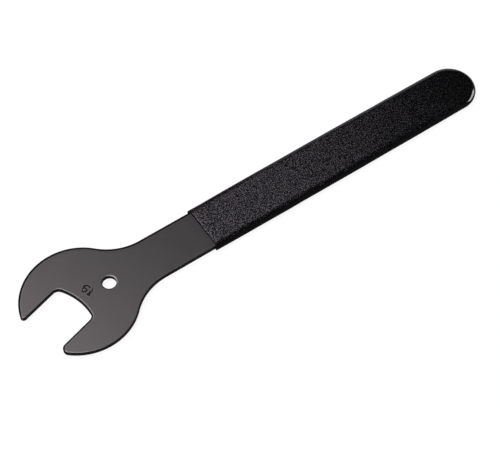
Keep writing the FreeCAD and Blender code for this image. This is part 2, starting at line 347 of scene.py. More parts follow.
@dataclass(frozen=True)
class DrawnPlastisolAndShade:
    """Black PVC plastisol on the upright flanks and the lip, drawn matt.

    It is the blackest part of the tool, with a soft bloom in its black, and reflects next to nothing: partly
    the vinyl's own black, partly painted shade, the dark of flanks that turn away from the lamps.
    """

    black: str = "#090909"
    bloom_black: str = "#0e0e0e"
    bloom_mm: float = 1.8
    roughness: float = 0.62
    specular_level: float = 0.03

    def make(self) -> Material:
        """Builds the material.

        Returns:
            The matt black of the flanks, with its painted shade.
        """
        material, tree = new_material("drawn_plastisol_and_shade")
        place = add_node(tree, "TexCoord").outputs["Object"]
        bloom = add_node(tree, "TexNoise", {
            "Vector": place, "Scale": per_metre(self.bloom_mm), "Detail": 3.0})
        colour = add_node(tree, "Mix", {
            "Factor": bloom, 6: linear(self.black), 7: linear(self.bloom_black)},
            data_type="RGBA").outputs[2]
        shader = add_node(tree, "BsdfPrincipled", {
            "Base Color": colour, "Metallic": 0.0, "Roughness": self.roughness,
            "Specular IOR Level": self.specular_level})
        add_node(tree, "OutputMaterial", {"Surface": shader})
        return material


@dataclass(frozen=True)
class StudioPaper:
    """Matt white seamless paper, lit from behind like a light table.

    The light that comes through it leaves only a faint, soft shadow round the object.
    """

    white: str = "#ffffff"
    roughness: float = 0.9
    through_light: float = 0.9

    def make(self) -> Material:
        """Builds the material.

        Returns:
            The matt white of the studio floor.
        """
        material, tree = new_material("studio_paper")
        lit = add_node(tree, "BsdfDiffuse", {"Color": linear(self.white), "Roughness": self.roughness})
        glow = add_node(tree, "Emission", {"Color": linear(self.white), "Strength": 1.0})
        ray = add_node(tree, "LightPath").outputs
        seen = add_node(tree, "Math", {
            0: ray["Is Camera Ray"], 1: ray["Is Glossy Ray"]}, operation="MAXIMUM")
        shown = add_node(tree, "Math", {0: seen, 1: ray["Is Transmission Ray"]}, operation="MAXIMUM")
        share = add_node(tree, "Math", {0: shown, 1: self.through_light}, operation="MULTIPLY")
        shader = add_node(tree, "MixShader", {0: share, 1: lit, 2: glow})
        add_node(tree, "OutputMaterial", {"Surface": shader})
        return material


@dataclass(frozen=True)
class Arc:
    """A round stretch of an outline in plan, clockwise where its last angle is less than its first.

    Its angles are measured from the +X axis.
    """

    centre: tuple[float, float]
    radius: float
    first: float
    last: float

    def points(self, step: float) -> Array:
        """Gives points along the arc, both ends among them.

        Args:
            step: their widest spacing.

        Returns:
            The points, one to a row.
        """
        count = max(2, math.ceil(abs(self.last - self.first) * self.radius / step) + 1)
        angles = np.linspace(self.first, self.last, count)
        return np.array(self.centre) + self.radius * np.column_stack([np.cos(angles), np.sin(angles)])


def closed_outline(arcs: list[Arc], step: float) -> Array:
    """Joins arcs by straight stretches into one closed outline.

    Args:
        arcs: the round stretches, in order.
        step: the points' widest spacing.

    Returns:
        The outline's points, one to a row, with no point twice.
    """
    bends = [arc.points(step) for arc in arcs]
    runs = []
    for bend, following in zip(bends, bends[1:] + bends[:1]):
        gap = following[0] - bend[-1]
        count = max(1, math.ceil(np.linalg.norm(gap) / step))
        runs += [bend, bend[-1] + np.outer(np.arange(1, count) / count, gap)]
    points = np.vstack(runs)
    spacing = np.linalg.norm(points - np.roll(points, 1, axis=0), axis=1)
    return points[spacing > CLOSEST_SPACING * step]


def inward_normals(points: Array) -> Array:
    """Gives each point of a closed outline its normal into the material.

    Args:
        points: the outline, one point to a row, anticlockwise, or clockwise round a hole.

    Returns:
        Unit normals, one to a row.
    """
    along = np.roll(points, -1, axis=0) - np.roll(points, 1, axis=0)
    normals = np.column_stack([-along[:, 1], along[:, 0]])
    return normals / np.linalg.norm(normals, axis=1, keepdims=True)


def signed_area(loop: Array) -> float:
    """Gives the area inside a closed loop of points, negative where the loop runs clockwise."""
    following = np.roll(loop, -1, axis=0)
    return float(np.sum(loop[:, 0] * following[:, 1] - following[:, 0] * loop[:, 1]) / 2)


def rounded_edge(reach: float, drop: float, steps: int) -> Array:
    """Gives the section of a rounded edge, a quarter of an ellipse from the flat face to the upright wall.

    Args:
        reach: how far the round reaches in from the wall.
        drop: how far it reaches down from the face.
        steps: how many facets make the round.

    Returns:
        Rows of the inset from the wall, the depth below the face and the normal's tilt from upright.
    """
    turn = np.linspace(0, math.pi / 2, steps + 1)
    tilt = np.arctan2(drop * np.sin(turn), reach * np.cos(turn))
    return np.column_stack([reach * (1 - np.sin(turn)), drop * (1 - np.cos(turn)), tilt])


def bands(upper: Array, lower: Array) -> Array:
    """Gives the four-sided faces between closed rows of corners, from upper rows to the ones below them."""
    return np.stack([upper, lower, np.roll(lower, -1, axis=-1), np.roll(upper, -1, axis=-1)], axis=-1)


def smooth_ramp(value: Array, low: float, high: float) -> Array:
    """Rises smoothly from 0 at low to 1 at high."""
    share = np.clip((value - low) / (high - low), 0, 1)
    return share * share * (3 - 2 * share)


def lattice_hash(cells: Array, salt: int) -> Array:
    """Gives each cell of a lattice a fixed number from 0 to 1 that looks random.

    Args:
        cells: whole-number cells, three to a row.
        salt: picks one of many such patterns.

    Returns:
        A number for each cell.
    """
    mixed = cells.astype(np.int64) @ np.array([73856093, 19349663, 83492791]) + salt * 2654435761
    mixed = (mixed ^ (mixed >> 13)) * 1274126177 & 0xFFFFFFFF
    mixed = (mixed ^ (mixed >> 16)) * 2246822519 & 0xFFFFFFFF
    return ((mixed ^ (mixed >> 15)) & 0xFFFFFF) / 0xFFFFFF


def pebbles(places: Array, size: float) -> Array:
    """Gives the height of a pebbled skin: a round-topped crest over each of many scattered seeds.

    Args:
        places: points, three to a row.
        size: how far apart the crests are.

    Returns:
        Heights about 0, from about -0.5 in the creases to 0.5 on the crests.
    """
    scaled = places / size
    home = np.floor(scaled).astype(np.int64)
    nearest = np.full(len(places), np.inf)
    for shift in np.ndindex(3, 3, 3):
        cell = home + np.array(shift) - 1
        seed = cell + np.column_stack([lattice_hash(cell, salt) for salt in (1, 2, 3)])
        nearest = np.minimum(nearest, np.linalg.norm(scaled - seed, axis=1))
    return 0.5 - np.clip(nearest, 0, 1) ** CRISP_CREASES


def waves(places: Array, size: float, salt: int) -> Array:
    """Gives a smooth, uneven swell over the lattice of the given size.

    Args:
        places: points, three to a row.
        size: the lattice's spacing.
        salt: picks one of many such swells.

    Returns:
        Heights from -1 to 1.
    """
    scaled = places / size
    home = np.floor(scaled).astype(np.int64)
    share = smooth_ramp(scaled - home, 0, 1)
    total = np.zeros(len(places))
    for corner in np.ndindex(2, 2, 2):
        weight = np.prod(np.where(np.array(corner) == 1, share, 1 - share), axis=1)
        total += weight * lattice_hash(home + np.array(corner), salt)
    return 2 * total - 1


class MeshDraft:
    """Gathers the corners and faces of one piece, in millimetres, before Blender gets them."""

    def __init__(self) -> None:
        """Starts with nothing."""
        self.points: list[Array] = []
        self.wear: list[Array] = []
        self.faces: list[list[int]] = []
        self.zones: list[int] = []
        self.rounded: list[bool] = []
        self.count = 0

    def add_points(self, points: Array, wear: float | Array = 0.0) -> Array:
        """Adds corners.

        Args:
            points: the corners, three numbers to a row.
            wear: how far each is worn or smoothed, from 0 to 1; the painted rim highlight and the grip's
                painted shade follow it.

        Returns:
            Their numbers in the mesh.
        """
        self.points.append(np.asarray(points, float))
        self.wear.append(np.broadcast_to(np.asarray(wear, float), len(points)))
        numbers = np.arange(self.count, self.count + len(points))
        self.count += len(points)
        return numbers

    def add_faces(self, faces: Array, zone: Zone, rounded: bool = True) -> None:
        """Adds faces that all have the same number of corners.

        Args:
            faces: corner numbers, one face to a row, anticlockwise from outside.
            zone: the finish that they take.
            rounded: whether they are shaded as part of a curved surface.
        """
        self.faces += np.asarray(faces).tolist()
        self.zones += [zone.value] * len(faces)
        self.rounded += [rounded] * len(faces)

    def add_with_matt(self, faces: Array, matt: Array) -> None:
        """Adds faces, of which the ones marked as matt take the edge's finish and the others the face's."""
        self.add_faces(faces[matt], Zone.EDGE)
        self.add_faces(faces[np.invert(matt)], Zone.FACE)

    def fill(self, loops: list[Array], axes: tuple[int, int], zone: Zone, flip: bool) -> None:
        """Fills a flat region between an outer loop and the loops inside it.

        Args:
            loops: corner numbers of the outer loop and then of each hole.
            axes: the two axes of the region's plane.
            zone: the finish that the region takes.
            flip: whether the region faces against its plane's normal.
        """
        places = np.vstack(self.points)[:, list(axes)]
        loops = [loop if signed_area(places[loop]) > 0 else loop[::-1] for loop in loops]
        numbers = np.concatenate(loops)
        flat = [Vector(place) for place in places[numbers]]
        starts = np.cumsum([0] + [len(loop) for loop in loops])
        rings = [list(range(low, high)) for low, high in zip(starts, starts[1:])]
        _, _, triangles, origins, _, inside = geometry.delaunay_2d_cdt(
            flat, [], rings, FILL_INSIDE, FILL_TOLERANCE)
        back = [numbers[origin[0]] for origin in origins]
        kept = [[back[corner] for corner in triangle]
                for triangle, loops_round in zip(triangles, inside) if list(loops_round) == [0]]
        faces = np.array(kept)
        a, b, c = (places[faces[:, corner]] for corner in range(3))
        doubled_area = (b[:, 0] - a[:, 0]) * (c[:, 1] - a[:, 1]) - (b[:, 1] - a[:, 1]) * (c[:, 0] - a[:, 0])
        backwards = (doubled_area < 0) != flip
        faces[backwards] = faces[backwards][:, ::-1]
        self.add_faces(faces, zone, rounded=False)

    def make_object(self, name: str, finishes: list[Material], attribute: str) -> Object:
        """Makes the Blender object, in metres.

        Args:
            name: what the piece is called.
            finishes: one material for each zone in use.
            attribute: the name under which the corners' wear or smoothness is kept; painted light follows
                it.

        Returns:
            The object, linked to the scene.
        """
        mesh = bpy.data.meshes.new(name)
        mesh.from_pydata((np.vstack(self.points) * MM).tolist(), [], self.faces)
        mesh.polygons.foreach_set("material_index", self.zones)
        mesh.polygons.foreach_set("use_smooth", self.rounded)
        worn = mesh.attributes.new(attribute, "FLOAT", "POINT")
        worn.data.foreach_set("value", np.concatenate(self.wear).astype(np.float32))
        for finish in finishes:
            mesh.materials.append(finish)
        mesh.update()
        mesh.validate()
        return put_up(name, mesh)


@dataclass
class SizeNumeral:
    """The jaw size, 19, struck into the face by hand: two plain figures with their tops to the mouth.

    The figures' own axes start at the head's centre. The first runs across the jaws to the reader's right
    and the second up the figures, to the mouth.
    """

    groove_half_width: float = 0.14
    groove_shoulder: float = 0.16
    groove_depth: float = 0.2
    groove_shade_from: float = 0.1
    lip_height: float = 0.02
    lip_spread: float = 0.3
    grid_step: float = 0.08
    margin: float = 0.7
    one_stem: tuple = ((-0.92, -3.3), (-1.08, -4.0), (-1.05, -5.4), (-0.8, -6.5))
    one_flag: tuple = ((-1.95, -3.45), (-1.1, -4.1))
    bowl_centre: tuple[float, float] = (1.38, -4.17)
    bowl_radius: float = 0.9
    tail_centre: tuple[float, float] = (1.13, -5.07)
    tail_radius: float = 1.35
    tail_first: float = 40.0
    tail_last: float = -122.0

    def strokes(self) -> list[Array]:
        """Gives the punch's strokes.

        Returns:
            The middle line of each stroke, one point to a row.
        """
        bowl = Arc(self.bowl_centre, self.bowl_radius, 0, 2 * math.pi)
        tail = Arc(
            self.tail_centre, self.tail_radius, math.radians(self.tail_first), math.radians(self.tail_last))
        one = [np.array(self.one_stem), np.array(self.one_flag)]
        return one + [arc.points(self.grid_step) for arc in (bowl, tail)]

    def distance(self, places: Array) -> Array:
        """Gives how far each place is from the nearest stroke.

        Args:
            places: points on the figures' axes, one to a row.

        Returns:
            Distances.
        """
        nearest = np.full(len(places), np.inf)
        for stroke in self.strokes():
            for start, end in zip(stroke, stroke[1:]):
                run = end - start
                share = np.clip((places - start) @ run / (run @ run), 0, 1)
                nearest = np.minimum(nearest, np.linalg.norm(places - start - np.outer(share, run), axis=1))
        return nearest

    def relief(self, places: Array) -> Array:
        """Gives the height of the struck face: grooves with a low lip of pushed-up metal beside them.

        Args:
            places: points on the figures' axes, one to a row.

        Returns:
            Heights, negative in the grooves.
        """
        away = self.distance(places)
        lip_middle = self.groove_half_width + self.groove_shoulder
        groove = 1 - smooth_ramp(away, self.groove_half_width, lip_middle)
        lip = np.clip(1 - np.abs(away - lip_middle) / self.lip_spread, 0, 1) ** 2
        return self.lip_height * lip * (1 - groove) - self.groove_depth * groove

    def grid(self) -> tuple[Array, Array]:
        """Gives the fine grid that carries the figures.

        Returns:
            The grid's places along the figures' two axes.
        """
        every = np.vstack(self.strokes())
        low, high = every.min(axis=0) - self.margin, every.max(axis=0) + self.margin
        counts = np.ceil((high - low) / self.grid_step).astype(int) + 1
        return np.linspace(low[0], high[0], counts[0]), np.linspace(low[1], high[1], counts[1])


@dataclass
class Blade:
    """The stamped blank: round head, angled jaws, neck, shank and the tang that runs on inside the grip."""

    thickness: float
    hole_radius: float
    tang_reach: float
    nut_gap: float = 19.1
    jaw_angle: float = 15.7
    jaw_offset: float = 0.48
    head_radius: float = 23.2
    head_to_hole: float = 13.2
    throat_setback: float = 0.33
    throat_radius: float = 24.0
    throat_corner_radius: float = 2.6
    upper_tip_radius: float = 1.3
    lower_tip_radius: float = 2.2
    neck_radius: float = 22.7
    shank_width: float = 18.9
    edge_break: float = 0.2
    roll_reach: float = 0.9
    roll_facets: int = 8
    # Tilt from which the rolled rims turn matt black: the blackened edge and painted shade.
    roll_matt_from: float = 8.0
    # Tilt from which the far rim turns matt black: painted shade on the edges that turn away from view.
    far_shade_from: float = 5.0
    roll_even: float = 1.14
    roll_lean: float = 0.5
    hole_roll: float = 0.8
    # Tilt from which the hang hole's rim turns matt black: the blackened edge and painted shade.
    hole_matt_from: float = 14.0
    # How light the rolled rim is drawn at the wall: wear, and a painted highlight.
    roll_wear_and_highlight: float = 0.25
    flat_margin: float = 0.05
    outline_step: float = 0.3
    wall_rows: int = 6
    burnish_share: float = 0.35
    tear_depth: float = 0.035
    tear_size: float = 0.5
    tear_squeeze: float = 0.3
    numeral: SizeNumeral = field(default_factory=SizeNumeral)

    def from_jaw_axes(self, along: float, across: float) -> tuple[float, float]:
        """Turns a place on the jaws' axes, from the head's centre, into the frame's x and y.

        Args:
            along: towards the handle, along the jaws' centreline.
            across: towards the upper jaw.

        Returns:
            The place in plan.
        """
        turn = math.radians(self.jaw_angle)
        x = along * math.cos(turn) - across * math.sin(turn) - self.head_to_hole
        y = along * math.sin(turn) + across * math.cos(turn)
        return x, y

    def tip(self, side: int, radius: float) -> tuple[tuple[float, float], float]:
        """Places the round of a jaw's tip, inside the head's round and against the jaw's flat.

        Args:
            side: 1 for the upper jaw and -1 for the lower.
            radius: the tip's round.

        Returns:
            Its centre in plan, and the angle at which it meets the head's round.
        """
        across = self.jaw_offset + side * (self.nut_gap / 2 + radius)
        along = -math.sqrt((self.head_radius - radius) ** 2 - across ** 2)
        meeting = math.atan2(across, along) % (2 * math.pi) + math.radians(self.jaw_angle)
        return self.from_jaw_axes(along, across), meeting

    def outline(self) -> Array:
        """Draws the blank in plan, anticlockwise from the tang's end.

        Returns:
            The outline's points, one to a row.
        """
        turn, quarter = math.radians(self.jaw_angle), math.pi / 2
        half_shank = self.shank_width / 2
        neck_y = half_shank + self.neck_radius
        neck_gap = math.sqrt((self.head_radius + self.neck_radius) ** 2 - neck_y ** 2)
        neck_x = neck_gap - self.head_to_hole
        neck_angle = math.atan2(neck_y, neck_gap)
        head = (-self.head_to_hole, 0.0)
        upper_tip, upper_meeting = self.tip(1, self.upper_tip_radius)
        lower_tip, lower_meeting = self.tip(-1, self.lower_tip_radius)
        throat_along = -self.throat_setback - self.throat_radius
        corner_across = self.nut_gap / 2 - self.throat_corner_radius
        corner_reach = math.sqrt((self.throat_radius - self.throat_corner_radius) ** 2 - corner_across ** 2)
        corner_angle = math.atan2(corner_across, corner_reach)
        corners = [self.from_jaw_axes(throat_along + corner_reach, self.jaw_offset + side * corner_across)
                   for side in (1, -1)]
        throat = self.from_jaw_axes(throat_along, self.jaw_offset)
        full = 2 * math.pi
        return closed_outline([
            Arc((self.tang_reach - half_shank, 0.0), half_shank, -quarter, quarter),
            Arc((neck_x, neck_y), self.neck_radius, -quarter, neck_angle - math.pi),
            Arc(head, self.head_radius, neck_angle, upper_meeting),
            Arc(upper_tip, self.upper_tip_radius, upper_meeting, turn + 3 * quarter),
            Arc(corners[0], self.throat_corner_radius, turn + quarter, turn + corner_angle),
            Arc(throat, self.throat_radius, turn + corner_angle, turn - corner_angle),
            Arc(corners[1], self.throat_corner_radius, turn - corner_angle, turn - quarter),
            Arc(lower_tip, self.lower_tip_radius, turn + quarter, lower_meeting),
            Arc(head, self.head_radius, lower_meeting, full - neck_angle),
            Arc((neck_x, -neck_y), self.neck_radius, math.pi - neck_angle, quarter),
        ], self.outline_step)

    def cut_edge(
            self, draft: MeshDraft, plan: Array, inward: Array, spread: Array,
            matt_and_shade_from: Array) -> tuple[Array, Array]:
        """Builds one blanked edge, round the blank or the hole, to which both faces roll down.

        Args:
            draft: the mesh that it goes into.
            plan: the edge's outline, one point to a row.
            inward: each point's normal into the metal.
            spread: how wide the roll is at each point, as a share of its usual reach.
            matt_and_shade_from: the tilt at each point from which the roll is matt black, in degrees: the
                edge's own black and painted shade.

        Returns:
            The corner numbers where the upper and the lower face start.
        """
        half = self.thickness / 2
        rim = rounded_edge(self.roll_reach, self.edge_break, self.roll_facets)
        wall = np.linspace(half - self.edge_break, self.edge_break - half, self.wall_rows + 1)[1:-1]
        flat = [self.roll_reach + self.flat_margin]
        insets = np.concatenate([flat, rim[:, 0], 0 * wall, rim[::-1, 0], flat])
        heights = np.concatenate([[half], half - rim[:, 1], wall, rim[::-1, 1] - half, [-half]])
        # The rim's wear and painted highlight grow from the face towards the wall.
        top_wear_and_highlight = np.concatenate([[0.0], self.roll_wear_and_highlight * (1 - rim[:, 0] / self.roll_reach)])
        wears_and_highlights = np.concatenate([top_wear_and_highlight, 0 * wall, top_wear_and_highlight[::-1]])
        torn_from = half - self.burnish_share * self.thickness
        reach = spread[:, None] * inward
        rows = []
        for inset, height, wear in zip(insets, heights, wears_and_highlights):
            row = np.column_stack([plan + inset * reach, np.full(len(plan), height)])
            if inset == 0 and height < torn_from:
                tears = 0.5 + 0.5 * waves(row * (1, 1, self.tear_squeeze), self.tear_size, salt=11)
                row[:, :2] += (self.tear_depth * tears)[:, None] * inward
            rows.append(draft.add_points(row, wear))
        roll_tilts = np.degrees(rim[:-1, 2])
        tilts = np.concatenate([[0], roll_tilts, np.full(self.wall_rows, 90), roll_tilts[::-1], [0]])
        # Rows tilted past the given tilt take the matt black of the edges: the blackened edge and painted
        # shade.
        draft.add_with_matt(bands(np.array(rows[:-1]), np.array(rows[1:])), tilts[:, None] >= matt_and_shade_from)
        return rows[0], rows[-1]

    def numeral_patch(self, draft: MeshDraft) -> Array:
        """Adds the fine patch of the upper face that carries the size numeral.

        Args:
            draft: the mesh that it goes into.

        Returns:
            The corner numbers round the patch.
        """
        right, up = self.numeral.grid()
        columns, rows = len(right), len(up)
        own = np.column_stack([np.repeat(right, rows), np.tile(up, columns)])
        plan = np.array([self.from_jaw_axes(-mouthwards, across) for across, mouthwards in own])
        relief = self.numeral.relief(own)
        patch = np.column_stack([plan, self.thickness / 2 + relief])
        numbers = draft.add_points(patch).reshape(columns, rows)
        corners = (numbers[:-1, :-1], numbers[1:, :-1], numbers[1:, 1:], numbers[:-1, 1:])
        quads = np.column_stack([corner.ravel() for corner in corners])
        # Below this depth the grooves take the edges' matt black: painted shade in the struck grooves.
        draft.add_with_matt(quads, relief[quads - numbers[0, 0]].mean(axis=1) < -self.numeral.groove_shade_from)
        return np.concatenate([numbers[:-1, 0], numbers[-1, :-1], numbers[:0:-1, -1], numbers[0, :0:-1]])

    def build(self, finishes: list[Material]) -> Object:
        """Builds the blade.

        Args:
            finishes: the material of its faces and that of its cut edges.

        Returns:
            The piece that stands for the CAD blade.
        """
        draft = MeshDraft()
        blank = self.outline()
        blank_inward = inward_normals(blank)
        # The roll is drawn wider on the side of +Y. On that far side, away from the mouth, it turns matt
        # black from
        # a lower tilt: painted shade, a wider dark rim where the far edges turn away from view. At the mouth
        # the black starts as it does on the side of -Y.
        blank_spread = self.roll_even - self.roll_lean * blank_inward[:, 1]
        from_head = blank + (self.head_to_hole, 0.0)
        far = (blank_inward[:, 1] < 0) & (np.sum(blank_inward * from_head, axis=1) < 0)
        blank_matt_and_shade = np.where(far, self.far_shade_from, self.roll_matt_from)
        upper_blank, lower_blank = self.cut_edge(draft, blank, blank_inward, blank_spread, blank_matt_and_shade)
        hole = Arc((0.0, 0.0), self.hole_radius, 0.0, 2 * math.pi).points(self.outline_step)[:0:-1]
        even = np.ones(len(hole))
        upper_hole, lower_hole = self.cut_edge(
            draft, hole, inward_normals(hole), self.hole_roll * even, self.hole_matt_from * even)
        patch = self.numeral_patch(draft)
        draft.fill([upper_blank, upper_hole, patch], (0, 1), Zone.FACE, flip=False)
        draft.fill([lower_blank, lower_hole], (0, 1), Zone.FACE, flip=True)
        piece = draft.make_object("wrench_blade", finishes, RIM_WEAR_AND_HIGHLIGHT_NAME)
        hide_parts("steel_blade")
        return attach(piece, BODY)


@dataclass
class Sleeve:
    """A flat capsule's surface, open at the seam: two slowly bowed sides and a full round at the end."""

    seam_x: float
    end_x: float
    half_seam: float
    end_radius: float
    half_thickness: float
    round_reach: float
    round_drop: float
    bow_radius: float
    step: float
    round_facets: int

    def side(self, x: Array) -> Array:
        """Gives the half width along the bowed side.

        Args:
            x: places from the seam to the round's centre.

        Returns:
            Half widths.
        """
        length = self.end_x - self.end_radius - self.seam_x
        share = (x - self.seam_x) / length
        straight = self.half_seam + (self.end_radius - self.half_seam) * share
        return straight + share * (1 - share) * length ** 2 / (2 * self.bow_radius)

    def plan(self) -> tuple[Array, Array, Array]:
        """Draws the sleeve in plan, from the seam's lower corner round the end to its upper corner.

        Returns:
            The outline, its normals into the sleeve and, for each point, the middle line's point it faces.
        """
        centre_x = self.end_x - self.end_radius
        count = math.ceil((centre_x - self.seam_x) / self.step)
        x = np.linspace(self.seam_x, centre_x, count + 1)
        half = self.side(x)
        end = Arc((centre_x, 0.0), self.end_radius, -math.pi / 2, math.pi / 2).points(self.step)[1:-1]
        near, far = np.column_stack([x, -half]), np.column_stack([x, half])[::-1]
        outline = np.vstack([near, end, far])
        middle_x = np.concatenate([x, np.full(len(end), centre_x), x[::-1]])
        middle = np.column_stack([middle_x, 0 * middle_x])
        inward = middle - outline
        return outline, inward / np.linalg.norm(inward, axis=1, keepdims=True), middle

    def section(self) -> tuple[Array, Array, Array]:
        """Gives the section from the upper face's edge, over the round and the wall, to the lower face.

        Returns:
            Insets from the wall, heights, and the tilt of the surface's normal from upright.
        """
        rim = rounded_edge(self.round_reach, self.round_drop, self.round_facets)
        half = self.half_thickness
        low = half - self.round_drop
        rows = max(1, round(2 * low / self.step))
        wall = np.linspace(low, -low, rows + 1)[1:-1]
        insets = np.concatenate([rim[:, 0], 0 * wall, rim[::-1, 0]])
        heights = np.concatenate([half - rim[:, 1], wall, rim[::-1, 1] - half])
        tilts = np.concatenate([rim[:, 2], np.full(len(wall), math.pi / 2), math.pi - rim[::-1, 2]])
        return insets, heights, tilts

    def surface(self) -> tuple[Array, Array, Array]:
        """Lays out the surface: one row of points for each place in the outline, from face to face.

        Returns:
            Points and unit normals, by outline place, section place and axis, and the normals' tilts.
        """
        outline, inward, middle = self.plan()
        insets, heights, tilts = self.section()
        face_rows = math.ceil((self.half_seam - self.round_reach) / self.step)
        share = np.linspace(0, 1, face_rows + 1)[:-1]
        flat_edge = outline + self.round_reach * inward
        face = middle[:, None] + share[None, :, None] * (flat_edge - middle)[:, None]
        rim = outline[:, None] + insets[None, :, None] * inward[:, None]
        plan = np.concatenate([face, rim, face[:, ::-1]], axis=1)
        level = np.full(len(share), self.half_thickness)
        height = np.concatenate([level, heights, -level])
        tilt = np.concatenate([0 * share, tilts, 0 * share + math.pi])
        upright = np.ones((*plan.shape[:2], 1))
        points = np.concatenate([plan, height[None, :, None] * upright], axis=2)
        sideways = -np.sin(tilt)[None, :, None] * inward[:, None]
        return points, np.concatenate([sideways, np.cos(tilt)[None, :, None] * upright], axis=2), tilt


@dataclass
class DippedGrip:
    """The vinyl skin of the handle: a crinkled sleeve, with a soft lip at the seam and a smooth end."""

    seam_x: float
    end_x: float
    half_thickness: float
    blade: Blade
    coat_at_seam: float = 1.11
    coat_at_round: float = 1.19
    round_reach: float = 2.55
    round_drop: float = 1.8
    round_facets: int = 12
    # Tilts from which the grip's round turns matt black, later at the drip end: the vinyl's black and
    # painted shade.
    matt_and_shade_from: float = 32.0
    drip_matt_from: float = 52.0
    drip_side: float = 2.5
    lip_radius: float = 0.35
    lip_facets: int = 7
    lip_shade_from: float = 14.0
    lip_setback: float = 0.15
    lip_run: float = 0.5
    lip_run_from: float = 8.0
    lip_run_fade: float = 2.5
    bow_radius: float = 9300.0
    skin_step: float = 0.27
    pebble_size: float = 0.9
    pebble_height: float = 0.04
    swell_size: float = 7.0
    swell_height: float = 0.05
    # Where the skin smooths: towards the end, near the long edges, and less behind the seam. The painted
    # glints follow, so these also place painted shade and light along the grip.
    smooth_from_end: float = 4.0
    crinkled_from_end: float = 124.0
    smooth_from_edge: float = 0.9
    crinkled_from_edge: float = 3.0
    seam_fade: float = 0.5
    seam_crinkle: float = 0.55
    seam_crinkle_fade: float = 3.0
    uneven_size: float = 2.5
    uneven_from_end: float = 2.5
    uneven_from_edge: float = 0.2
    hollow_step: float = 1.0
    hollow_facets: int = 2

    def skin_height(self, places: Array, smoothness: Array) -> Array:
        """Gives how far the cured skin stands proud of the dip's plain form.

        Args:
            places: points of the plain form, three to a row.
            smoothness: how smooth the skin is at each, from 0 to 1.

        Returns:
            Heights.
        """
        held = smooth_ramp(places[:, 0], self.seam_x, self.seam_x + self.seam_fade)
        fine = self.pebble_height * pebbles(places, self.pebble_size) * (1 - smoothness)
        swell = self.swell_height * waves(places, self.swell_size, salt=5)
        return (fine + swell) * held

    def smoothness(self, places: Array, from_edge: Array) -> Array:
        """Gives how smooth the skin is: 0 where it is crinkled, 1 at the drip end and over the long edges.

        It falls a little below 0 right behind the seam, where the skin is crinkled most. The skin's painted
        glints follow it, so it also paints the grip darker towards its end and its long edges, and lighter
        right behind the seam.

        Args:
            places: points, three to a row.
            from_edge: how far each is from the grip's outline.

        Returns:
            A share for each point.
        """
        uneven = waves(places, self.uneven_size, salt=8)
        from_end = self.end_x - places[:, 0] + self.uneven_from_end * uneven
        crinkled = 1 - np.interp(from_end, [self.smooth_from_end, self.crinkled_from_end], [1, 0]) ** 2
        crinkled *= smooth_ramp(
            from_edge + self.uneven_from_edge * uneven, self.smooth_from_edge, self.crinkled_from_edge)
        crinkled *= 1 + self.seam_crinkle * (
            1 - smooth_ramp(places[:, 0], self.seam_x, self.seam_x + self.seam_crinkle_fade))
        return 1 - crinkled

    def lip_shift(self, places: Array) -> Array:
        """Gives how far the seam's edge lies from a straight line: the dip ran further at the tang's edges.

        Args:
            places: points, three to a row.

        Returns:
            Shifts along X, which fade out behind the seam.
        """
        ran = smooth_ramp(np.abs(places[:, 1]), self.lip_run_from, self.seam_half_width())
        held = 1 - smooth_ramp(places[:, 0], self.seam_x + self.lip_radius, self.seam_x + self.lip_run_fade)
        return (self.lip_setback - self.lip_run * ran) * held

    def seam_half_width(self) -> float:
        """Gives half the grip's width at the seam."""
        return self.blade.shank_width / 2 + self.coat_at_seam

    def add_sleeve(self, draft: MeshDraft, sleeve: Sleeve, outward: bool) -> Array:
        """Adds a sleeve's surface to the mesh.

        Args:
            draft: the mesh that it goes into.
            sleeve: the surface's form.
            outward: whether it is the crinkled skin, which faces out, or the hollow, which faces in.

        Returns:
            The corner numbers round the open end.
        """
        points, normals, tilt = sleeve.surface()
        outline = sleeve.plan()[0]
        outline_count, section_count = points.shape[:2]
        from_edge = np.linalg.norm(points[..., :2] - outline[:, None], axis=2).ravel()
        flat = points.reshape(-1, 3)
        smoothness = self.smoothness(flat, from_edge)
        if outward:
            flat = flat + self.skin_height(flat, smoothness)[:, None] * normals.reshape(-1, 3)
        flat[:, 0] += self.lip_shift(flat)
        numbers = draft.add_points(flat, smoothness).reshape(outline_count, section_count)
        side_count = math.ceil((sleeve.end_x - sleeve.end_radius - sleeve.seam_x) / sleeve.step) + 1
        place = np.arange(outline_count)
        shared = np.minimum(np.minimum(place, place[::-1]), side_count - 1)
        numbers[:, 0] = numbers[shared, 0]
        numbers[:, -1] = numbers[shared, -1]
        corners = [numbers[:-1, :-1], numbers[:-1, 1:], numbers[1:, 1:], numbers[1:, :-1]]
        if not outward:
            corners = corners[::-1]
        quads = np.stack(corners, axis=-1)
        from_upright = 90 - np.degrees(np.abs(tilt[:-1] + tilt[1:] - math.pi)) / 2
        edge_x, edge_y = outline[:-1].T
        on_drip = (edge_x > sleeve.end_x - sleeve.end_radius) & (edge_y < -self.drip_side)
        # Steeper faces take the flanks' matt black: the vinyl's black and painted shade.
        matt = from_upright > np.where(on_drip, self.drip_matt_from, self.matt_and_shade_from)[:, None]
        draft.add_faces(quads[matt], Zone.EDGE)
        rest = quads[np.invert(matt)]
        whole = np.array([len(set(quad)) == 4 for quad in rest.tolist()])
        draft.add_faces(rest[whole], Zone.FACE)
        pinched = [list(dict.fromkeys(quad)) for quad in rest[np.invert(whole)].tolist()]
        draft.add_faces(np.array([face for face in pinched if len(face) == 3]), Zone.FACE)
        return np.concatenate([numbers[0], numbers[-1, -2:0:-1]])

